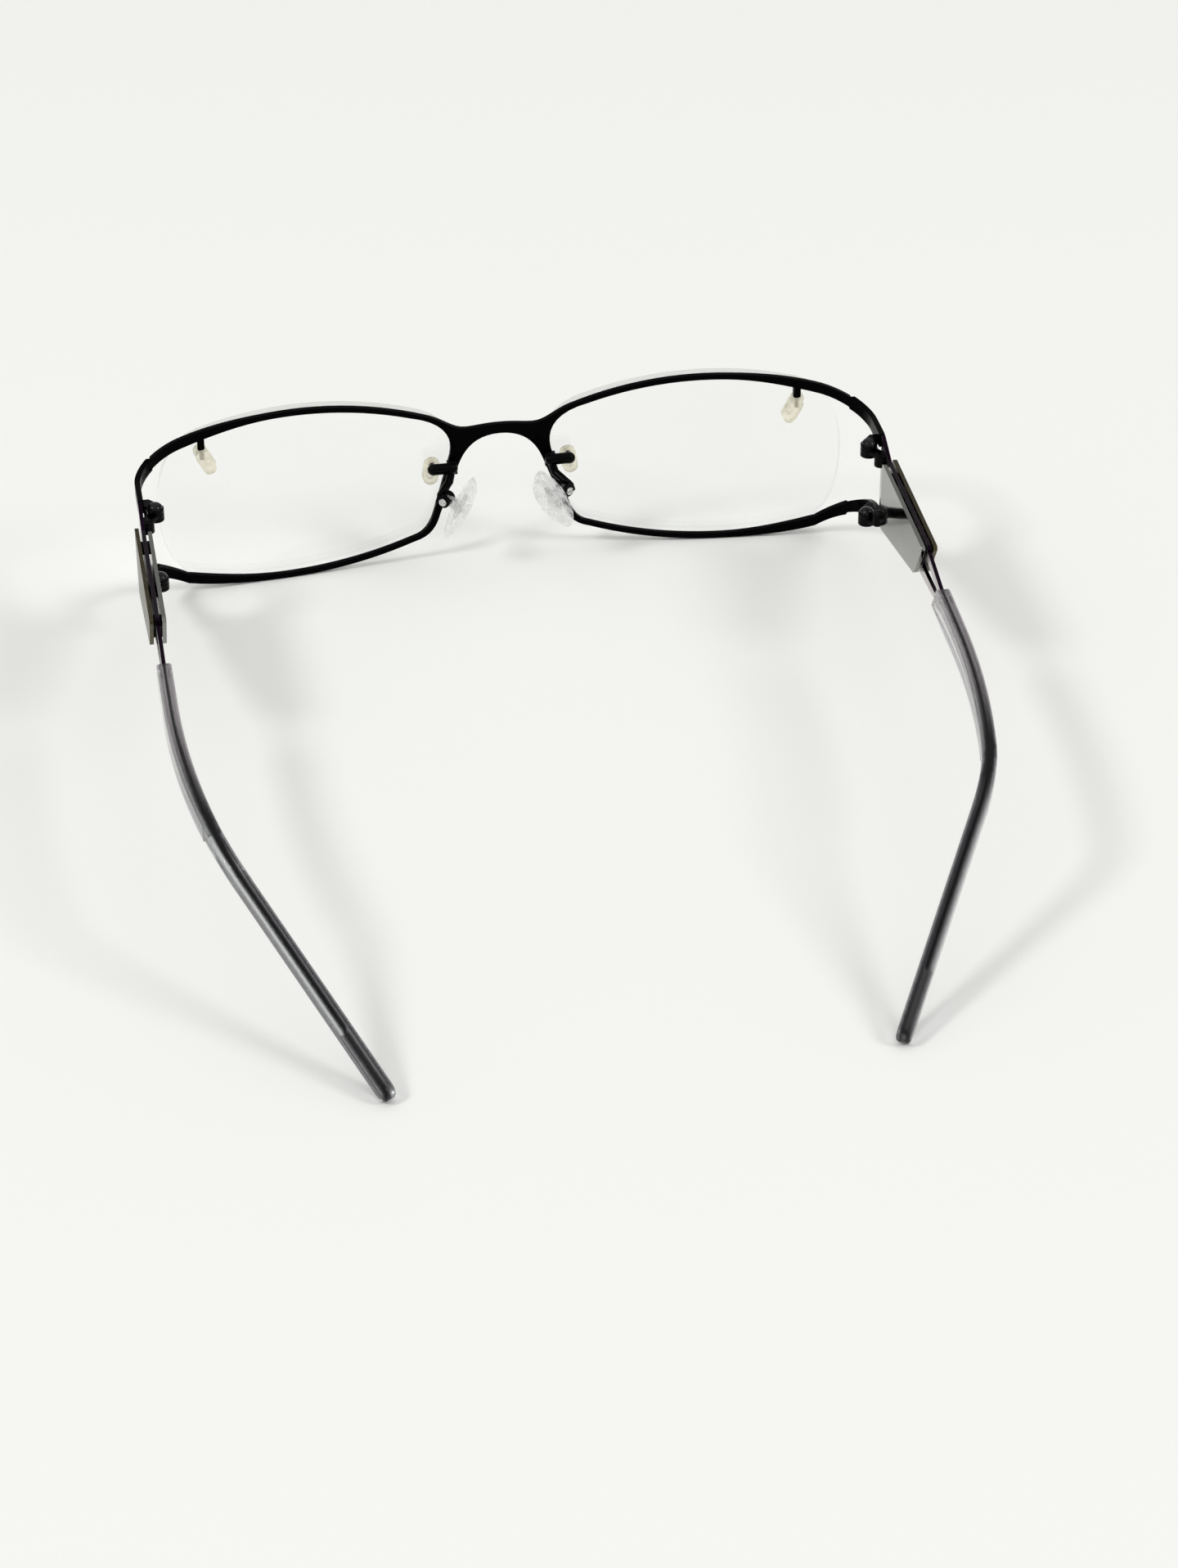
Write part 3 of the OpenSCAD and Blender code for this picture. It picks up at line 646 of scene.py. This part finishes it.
@dataclass(frozen=True)
class ClearMoulding(Finish):
    """Clear moulded plastic, silicone or a clear lens."""

    ior: float = 1.5
    passes: float = 1.0
    alpha: float = 1.0
    patch: float = 0.0006
    deepest: float = 0.93
    strength: float = 1.0
    relief: float = 0.0002

    def detail(self, wiring: Wiring, skin: bpy.types.NodeInputs) -> None:
        """Let light through and make the skin a little uneven.

        Args:
            wiring: The material's wiring.
            skin: The inputs of the material's shader.
        """
        skin["Transmission Weight"].default_value = self.passes
        skin["Alpha"].default_value = self.alpha
        skin["IOR"].default_value = self.ior
        patches = FineRelief.put(wiring, Patch_Size=self.patch, Contrast=1.0)
        base = wiring.mix(patches["Value"], shade(self.colour, self.deepest), self.colour)
        wiring.feed(skin["Base Color"], base)
        wiring.feed(skin["Normal"], wiring.bump(patches["Height"], self.strength, self.relief))


@dataclass(frozen=True)
class LensBlank(ClearMoulding):
    """A clear lens with polished faces and a frosted cut edge."""

    frost: Colour = (0.9, 0.88, 0.83)
    frost_roughness: float = 0.5
    frost_alpha: float = 0.25
    face_lean: Span = (0.5, 0.8)

    def detail(self, wiring: Wiring, skin: bpy.types.NodeInputs) -> None:
        """Frost what doesn't look forwards or backwards.

        Args:
            wiring: The material's wiring.
            skin: The inputs of the material's shader.
        """
        super().detail(wiring, skin)
        low, high = self.face_lean
        faces = FaceWay.put(wiring, Low=low, High=high)["Forwards"]
        wiring.feed(skin["Base Color"], wiring.mix(faces, self.frost, self.colour))
        for name, frosted, polished in (("Roughness", self.frost_roughness, self.roughness),
                                        ("Alpha", self.frost_alpha, self.alpha)):
            wiring.feed(skin[name], wiring.spread(faces, 0.0, 1.0, frosted, polished))


@dataclass(frozen=True)
class PadSilicone(ClearMoulding):
    """Soft clear silicone with milky streaks and clear gaps between them."""

    streak: float = 0.0016
    window: Span = (0.35, 0.65)
    clearest: float = 0.15

    def detail(self, wiring: Wiring, skin: bpy.types.NodeInputs) -> None:
        """Let what is behind the pad show through the clear gaps.

        Args:
            wiring: The material's wiring.
            skin: The inputs of the material's shader.
        """
        super().detail(wiring, skin)
        streaks = FineRelief.put(wiring, Patch_Size=self.streak, Contrast=1.0)["Value"]
        milky = wiring.spread(streaks, *self.window)
        wiring.feed(skin["Alpha"], wiring.spread(milky, 0.0, 1.0, self.clearest, self.alpha))


@dataclass(frozen=True)
class SmokyAcetate(Finish):
    """Polished smoky acetate: clear sides, a lined crest in front and a black one at the rear."""

    ior: float = 1.25
    passes: float = 1.0
    clear: Colour = (0.84, 0.83, 0.85)
    crest_front: Colour = (0.32, 0.29, 0.31)
    crest_rear: Colour = (0.0001, 0.0002, 0.0004)
    line: Colour = (0.004, 0.001, 0.004)
    line_window: Span = (0.08, 0.22)
    side_lean: Span = (0.06, 0.5)
    round_over: float = 0.0008
    fade_start: float = -0.034
    fade_end: float = 0.004
    swirl: float = 0.006
    swirl_deepest: float = 0.85
    patch: float = 0.0015
    gloss: Span = (0.7, 1.4)
    strength: float = 0.15
    relief: float = 0.00005

    def detail(self, wiring: Wiring, skin: bpy.types.NodeInputs) -> None:
        """Fade the tint along the temple, darken the crest and line it where the sides begin.

        Args:
            wiring: The material's wiring.
            skin: The inputs of the material's shader.
        """
        skin["IOR"].default_value = self.ior
        skin["Transmission Weight"].default_value = self.passes
        front = AlongFade.put(wiring, Start=self.fade_start, End=self.fade_end)["Mask"]
        swirl = FineRelief.put(wiring, Patch_Size=self.swirl, Contrast=1.0)
        patches = FineRelief.put(wiring, Patch_Size=self.patch, Contrast=1.0)
        low, high = self.side_lean
        lean = FaceWay.put(wiring, Low=low, High=high, Reach=self.round_over)["Sideways"]
        soft = EdgeSheen.put(wiring, Reach=self.round_over, Breakup=0.0)["Soft Normal"]
        clear = wiring.mix(swirl["Value"], shade(self.clear, self.swirl_deepest), self.clear)
        side = wiring.mix(front, self.colour, clear)
        crest = wiring.mix(front, self.crest_rear, self.crest_front)
        between = wiring.math("MULTIPLY", lean, wiring.math("SUBTRACT", 1.0, lean))
        lines = wiring.spread(between, *self.line_window)
        base = wiring.mix(lines, wiring.mix(lean, crest, side), self.line)
        wiring.feed(skin["Base Color"], base)
        self.vary_gloss(wiring, skin, patches["Value"], self.gloss)
        normal = wiring.bump(swirl["Height"], self.strength, self.relief, soft)
        wiring.feed(skin["Normal"], normal)


# The two black coatings keep the default edge colour, a painted highlight lighter than their own
# black.
SATIN_BLACK = Coating("satin black coating", "satin_black", (0.0005, 0.0005, 0.0006), 0.22,
                      shine=0.02)
GLOSS_BLACK = Coating("gloss black plating", "gloss_black", (0.0006, 0.0007, 0.0008), 0.07,
                      shine=0.06, patch=0.0006, relief=0.000004, reach=0.0004)
DOMED_BLACK = Coating("gloss black screw heads", "gloss_black", (0.0006, 0.0007, 0.0008), 0.08,
                      shine=0.3, edge=(0.0006, 0.0007, 0.0008), patch=0.0006, relief=0.000002,
                      reach=0.0001)
PURPLE_CORE = CorePlating("rolled core metal with purple edges", "purple_black",
                          (0.013, 0.005, 0.014), 0.24, metallic=1.0)
OLIVE_PLATE = BrushedMetal("olive brushed plate", "olive_metal", (0.045, 0.028, 0.01), 0.3,
                           metallic=1.0, light=(0.085, 0.08, 0.045))
INNER_PLATE = BrushedMetal("polished inner plate", "polished_steel", (0.19, 0.195, 0.18), 0.07,
                           metallic=1.0, light=(0.25, 0.255, 0.235), depth=0.000001)
BRIGHT_STEEL = BrushedMetal("bright screw steel", "steel", (0.45, 0.45, 0.44), 0.22,
                            metallic=1.0, light=(0.7, 0.7, 0.68), length=0.0005)
CLEAR_LENS = LensBlank("clear demo lens", "lens", (0.985, 0.992, 0.988), 0.0, Seen.CLEAR,
                       patch=0.02, strength=0.05, relief=0.000002)
CLEAR_BUSHING = ClearMoulding("clear yellowish bushing", "clear_plastic", (0.98, 0.945, 0.8),
                              0.05, Seen.CLEAR, ior=1.4, passes=0.75, alpha=0.9)
PAD_SILICONE = PadSilicone("clear pad silicone", "pad_silicone", (0.99, 0.99, 0.985), 0.04,
                           Seen.CLEAR, ior=1.42, passes=0.35, alpha=0.7, patch=0.0009,
                           relief=0.0006)
ACETATE = SmokyAcetate("smoky polished acetate", "acetate", (0.66, 0.68, 0.69), 0.04)


class SubAssembly:
    """A named group of pieces that belong together."""

    title: str = "pieces"

    def build(self, nodes: Nodes) -> list[str]:
        """Build and dress the pieces.

        Args:
            nodes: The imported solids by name.

        Returns:
            The names of the dressed pieces.
        """
        raise NotImplementedError

    def dress(self, piece: bpy.types.Object, finish: Finish) -> str:
        """Give a piece its finish in every slot.

        Args:
            piece: The piece.
            finish: Its finish.

        Returns:
            The piece's name.
        """
        material = finish.material()
        if not piece.material_slots:
            piece.data.materials.append(material)
        for entry in piece.material_slots:
            entry.material = material
        return piece.name


@dataclass
class FrontSheet(SubAssembly):
    """The flat-cut front with its rims, bridge and bent arms."""

    finish: Finish = SATIN_BLACK
    title: str = "front sheet"

    def build(self, nodes: Nodes) -> list[str]:
        """Dress the one sheet."""
        return [self.dress(nodes["front_frame"], self.finish)]


@dataclass
class Lenses(SubAssembly):
    """The clear lenses and the washers that hold them."""

    lens: Finish = CLEAR_LENS
    bushing: Finish = CLEAR_BUSHING
    title: str = "lenses"

    def build(self, nodes: Nodes) -> list[str]:
        """Dress both lenses and their four bushings.

        Args:
            nodes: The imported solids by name.

        Returns:
            The names of the dressed pieces.
        """
        done = []
        for side in Side:
            done.append(self.dress(nodes[f"lens_{side.value}"], self.lens))
            for spot in ("temporal", "nasal"):
                done.append(self.dress(nodes[f"bushing_{spot}_{side.value}"], self.bushing))
        return done


@dataclass
class NosePads(SubAssembly):
    """The pad arms with their boxes, and the clear pads in them."""

    arm: Finish = GLOSS_BLACK
    insert: Finish = BRIGHT_STEEL
    pad: Finish = PAD_SILICONE
    title: str = "nose pads"

    def build(self, nodes: Nodes) -> list[str]:
        """Dress the arms, inserts and pads.

        Args:
            nodes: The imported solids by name.

        Returns:
            The names of the dressed pieces.
        """
        parts = {"pad_arm": self.arm, "pad_insert": self.insert, "nose_pad": self.pad}
        return [self.dress(nodes[f"{part}_{side.value}"], finish)
                for side in Side for part, finish in parts.items()]


@dataclass(frozen=True)
class Turning:
    """A solid turned about Z, given by its outline of radius and height from the bottom up."""

    outline: tuple[Span, ...]
    steps: int = 40

    def mesh(self) -> bpy.types.Mesh:
        """Turn the outline.

        Returns:
            The closed mesh.
        """
        shell = bmesh.new()
        angles = [math.tau * i / self.steps for i in range(self.steps)]
        rings = [[shell.verts.new((radius * math.cos(a), radius * math.sin(a), height))
                  for a in angles] for radius, height in self.outline]
        shell.faces.new(rings[0][::-1])
        shell.faces.new(rings[-1])
        for low, high in zip(rings, rings[1:]):
            for i in range(self.steps):
                j = (i + 1) % self.steps
                shell.faces.new((low[i], low[j], high[j], high[i]))
        mesh = bpy.data.meshes.new("turning")
        shell.to_mesh(mesh)
        shell.free()
        return mesh


@dataclass
class Screws(SubAssembly):
    """Finer screws that stand for packed ones, smooth up to sharp_angle between two faces."""

    joints: list[dict]
    sharp_angle: float = 35.0
    title: str = "screws"

    def joint(self, name: str) -> Line:
        """Find a joint's line.

        Args:
            name: The joint's name.

        Returns:
            A point on the line and its direction.
        """
        found = next(entry for entry in self.joints if entry["name"] == name)
        return Vector(found["pos_m"]), Vector(found["axis"]).normalized()

    def set_up(self, title: str, mesh: bpy.types.Mesh, seats: list[Line], stands_for: str,
               finish: Finish) -> str:
        """Set copies of one screw in their places as one smooth piece of the front.

        Args:
            title: The piece's name.
            mesh: The screw, along Z.
            seats: Where each copy's origin goes, and which way its Z looks.
            stands_for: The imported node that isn't shown any more.
            finish: The finish of the screws.

        Returns:
            The piece's name.
        """
        shell = bmesh.new()
        for place, way in seats:
            placed = mesh.copy()
            turn = way.to_track_quat("Z", "Y").to_matrix().to_4x4()
            placed.transform(Matrix.Translation(place) @ turn)
            shell.from_mesh(placed)
            bpy.data.meshes.remove(placed)
        made = bpy.data.meshes.new(title)
        shell.to_mesh(made)
        shell.free()
        made.shade_smooth()
        made.set_sharp_from_angle(angle=math.radians(self.sharp_angle))
        piece = bpy.data.objects.new(title, made)
        bpy.context.scene.collection.objects.link(piece)
        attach(piece, "front")
        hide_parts(stands_for)
        return self.dress(piece, finish)


@dataclass
class PadScrews(Screws):
    """The slotted screws of the pad boxes.

    The crown lists the head's rings, as shares of its radius and of its thickness below the top.
    The blade's length is given in radii of the head.
    """

    metal: Finish = BRIGHT_STEEL
    shaft_radius: float = 0.00045
    head_radius: float = 0.00075
    head_start: float = 0.0013
    head_thick: float = 0.00035
    crown: tuple[Span, ...] = ((1.0, 0.3), (0.96, 0.12), (0.86, 0.03), (0.7, 0.0))
    slot_width: float = 0.0002
    slot_depth: float = 0.00018
    blade_length: float = 3.0
    title: str = "pad screws"

    @property
    def head_top(self) -> float:
        """The height of the head's top above the joint."""
        return self.head_start + self.head_thick

    def build(self, nodes: Nodes) -> list[str]:
        """Turn one slotted screw and set it at both pad joints.

        Args:
            nodes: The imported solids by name.

        Returns:
            The name of the piece.
        """
        shaft = [(self.shaft_radius, -self.head_start), (self.shaft_radius, self.head_start)]
        head = [(self.head_radius * across, self.head_top - self.head_thick * below)
                for across, below in self.crown]
        mesh = Turning((*shaft, (self.head_radius, self.head_start), *head)).mesh()
        seats = []
        for side in Side:
            place, axis = self.joint(f"pad_{side.value}_rock")
            seats.append((place, -axis))
        slotted = self.slotted(mesh)
        return [self.set_up("slotted_pad_screws", slotted, seats, "pad_screws", self.metal)]

    def blade(self) -> bpy.types.Mesh:
        """Make the blade that cuts the slot: longer than the head is wide, and half above its top.

        Returns:
            The blade's mesh.
        """
        shell = bmesh.new()
        bmesh.ops.create_cube(shell, size=1.0)
        length, height = self.head_radius * self.blade_length, self.slot_depth * 2.0
        size = Matrix.Diagonal((length, self.slot_width, height, 1.0))
        shell.transform(Matrix.Translation((0.0, 0.0, self.head_top)) @ size)
        made = bpy.data.meshes.new("slot blade")
        shell.to_mesh(made)
        shell.free()
        return made

    def slotted(self, mesh: bpy.types.Mesh) -> bpy.types.Mesh:
        """Cut the driver's slot across the head.

        Args:
            mesh: The turned screw.

        Returns:
            The mesh with the slot.
        """
        blade = bpy.data.objects.new("slot blade", self.blade())
        blank = bpy.data.objects.new("screw blank", mesh)
        for thing in (blade, blank):
            bpy.context.scene.collection.objects.link(thing)
        cut = blank.modifiers.new("slot", "BOOLEAN")
        cut.operation = "DIFFERENCE"
        cut.solver = "EXACT"
        cut.object = blade
        solved = blank.evaluated_get(bpy.context.evaluated_depsgraph_get())
        made = bpy.data.meshes.new_from_object(solved)
        for thing in (blade, blank):
            bpy.data.objects.remove(thing)
        return made


@dataclass
class HingeScrews(Screws):
    """The hinge screws, with heads as round as the photograph's and a ring at each dome_step."""

    metal: Finish = DOMED_BLACK
    shaft_radius: float = 0.0005
    length: float = 0.0023
    head_radius: float = 0.00133
    packed_dome: float = 0.00045
    dome: float = 0.001
    dome_step: int = 9
    title: str = "hinge screws"

    def build(self, nodes: Nodes) -> list[str]:
        """Turn one domed screw and set it in both storeys of each side.

        Args:
            nodes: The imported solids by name.

        Returns:
            The names of the pieces.
        """
        angles = [math.radians(a) for a in range(0, 90, self.dome_step)]
        dome = [(self.head_radius * math.cos(a), self.dome * math.sin(a)) for a in angles]
        shaft = [(self.shaft_radius, -self.length), (self.shaft_radius, 0.0)]
        mesh = Turning((*shaft, *dome)).mesh()
        done = []
        for side in Side:
            place, axis = self.joint(f"temple_{side.value}_fold")
            up = axis if axis.z > 0.0 else -axis
            name = f"hinge_screws_{side.value}"
            low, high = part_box(name)
            upper = (high.z - place.z) / up.z - self.packed_dome
            lower = (low.z - place.z) / up.z + self.length
            seats = [(place + up * height, up) for height in (upper, lower)]
            done.append(self.set_up(f"domed_{name}", mesh, seats, name, self.metal))
        return done


@dataclass
class Hinges(SubAssembly):
    """The two-storey hinges of each side."""

    finish: Finish = GLOSS_BLACK
    title: str = "hinges"

    def build(self, nodes: Nodes) -> list[str]:
        """Dress the leaves."""
        return [self.dress(nodes[f"hinge_{level}_{leaf}_leaf_{side.value}"], self.finish)
                for side in Side for level in ("upper", "lower") for leaf in ("front", "temple")]


@dataclass
class Temples(SubAssembly):
    """The laminated temples with their bent ear pieces."""

    core: Finish = PURPLE_CORE
    outer: Finish = OLIVE_PLATE
    inner: Finish = INNER_PLATE
    spacer: Finish = GLOSS_BLACK
    acetate: Finish = ACETATE
    title: str = "temples"

    def build(self, nodes: Nodes) -> list[str]:
        """Dress each layer of both temples.

        Args:
            nodes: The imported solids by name.

        Returns:
            The names of the dressed pieces.
        """
        layers = {"core": self.core, "outer_plate": self.outer, "inner_plate": self.inner,
                  "spacers": self.spacer, "acetate": self.acetate}
        return [self.dress(nodes[f"temple_{layer}_{side.value}"], finish)
                for side in Side for layer, finish in layers.items()]


@dataclass(frozen=True)
class Lamp:
    """A round lamp: its name, where it hangs, its diameter and its power in watts."""

    name: str
    place: tuple[float, float, float]
    size: float
    power: float

    def hang(self, scene: bpy.types.Scene) -> None:
        """Hang the lamp so that it faces the glasses.

        Args:
            scene: The scene that gets the lamp.
        """
        data = bpy.data.lights.new(self.name, "AREA")
        data.shape = "DISK"
        data.size = self.size
        data.energy = self.power
        lamp = bpy.data.objects.new(self.name, data)
        lamp.location = self.place
        lamp.rotation_euler = (-Vector(self.place)).to_track_quat("-Z", "Y").to_euler()
        scene.collection.objects.link(lamp)


@dataclass
class Studio:
    """The table, the light and the camera.

    The camera was fitted to the photograph, and the lamps to the shadows on its table. The room's
    light is plain up to wall_top and grows to the ceiling's from there to ceiling_start, both given
    as the height of a direction of length 1.
    """

    camera_place: tuple[float, float, float] = (-0.0960089, -0.5552183, 0.4317190)
    camera_turn: tuple[float, float, float] = (52.54625, -0.37766, -9.90388)
    lens: float = 93.9457
    sensor: float = 36.0
    clip_start: float = 0.01
    table_colour: Colour = (0.885, 0.885, 0.86)
    table_roughness: float = 0.6
    table_reach: float = 3.0
    table_drop: float = 0.0001
    room: Colour = (1.0, 1.0, 1.0)
    wall_top: float = 0.5
    ceiling_start: float = 0.95
    wall_strength: float = 0.52
    ceiling_strength: float = 0.87
    lamps: tuple[Lamp, ...] = (Lamp("left lamp", (-1.65, -0.44, 1.83), 0.5, 16.0),
                               Lamp("right window", (1.68, -0.97, 1.57), 0.75, 16.0))

    def build(self) -> None:
        """Make the camera, the table, the room light and the lamps."""
        scene = bpy.context.scene
        scene.view_settings.view_transform = "Standard"
        self.make_camera(scene)
        self.make_table(scene)
        self.make_room(scene)
        for lamp in self.lamps:
            lamp.hang(scene)

    def make_camera(self, scene: bpy.types.Scene) -> None:
        """Set the camera at the photograph's viewing angle.

        Args:
            scene: The scene that gets the camera.
        """
        data = bpy.data.cameras.new("camera")
        data.lens = self.lens
        data.sensor_width = self.sensor
        data.sensor_fit = "AUTO"
        data.clip_start = self.clip_start
        camera = bpy.data.objects.new("camera", data)
        turn = Euler([math.radians(a) for a in self.camera_turn], "XYZ").to_matrix().to_4x4()
        camera.matrix_world = Matrix.Translation(self.camera_place) @ turn
        scene.collection.objects.link(camera)
        scene.camera = camera

    def make_table(self, scene: bpy.types.Scene) -> None:
        """Lay a pale table under the glasses.

        Args:
            scene: The scene that gets the table.
        """
        mesh = bpy.data.meshes.new("table")
        far = self.table_reach
        corners = [(-far, -far, 0.0), (far, -far, 0.0), (far, far, 0.0), (-far, far, 0.0)]
        mesh.from_pydata(corners, [], [(0, 1, 2, 3)])
        table = bpy.data.objects.new("table", mesh)
        table.location.z = -self.table_drop
        scene.collection.objects.link(table)
        material = bpy.data.materials.new("white table")
        material.use_nodes = True
        skin = material.node_tree.nodes["Principled BSDF"].inputs
        skin["Base Color"].default_value = (*self.table_colour, 1.0)
        skin["Roughness"].default_value = self.table_roughness
        skin["Specular IOR Level"].default_value = 0.0
        mesh.materials.append(material)

    def make_room(self, scene: bpy.types.Scene) -> None:
        """Surround the table with plain walls under a brighter ceiling.

        Args:
            scene: The scene that gets the world.
        """
        world = bpy.data.worlds.new("white room")
        scene.world = world
        world.use_nodes = True
        back = world.node_tree.nodes["Background"].inputs
        back["Color"].default_value = (*self.room, 1.0)
        wiring = Wiring(world.node_tree)
        way = wiring.node("TexCoord").outputs["Generated"]
        up = wiring.node("SeparateXYZ", Vector=way).outputs["Z"]
        strength = wiring.spread(up, self.wall_top, self.ceiling_start, self.wall_strength,
                                 self.ceiling_strength)
        wiring.feed(back["Strength"], strength)


def main() -> None:
    """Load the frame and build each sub-assembly."""
    logging.basicConfig(level=logging.INFO, format="%(name)s: %(message)s")
    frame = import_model()
    Studio().build()
    joints = frame["joints"]
    assemblies = (FrontSheet(), Lenses(), NosePads(), PadScrews(joints), Hinges(),
                  HingeScrews(joints), Temples())
    for assembly in assemblies:
        for name in assembly.build(frame["nodes"]):
            LOG.info("%s: %s", assembly.title, name)


if __name__ == "__main__":
    main()
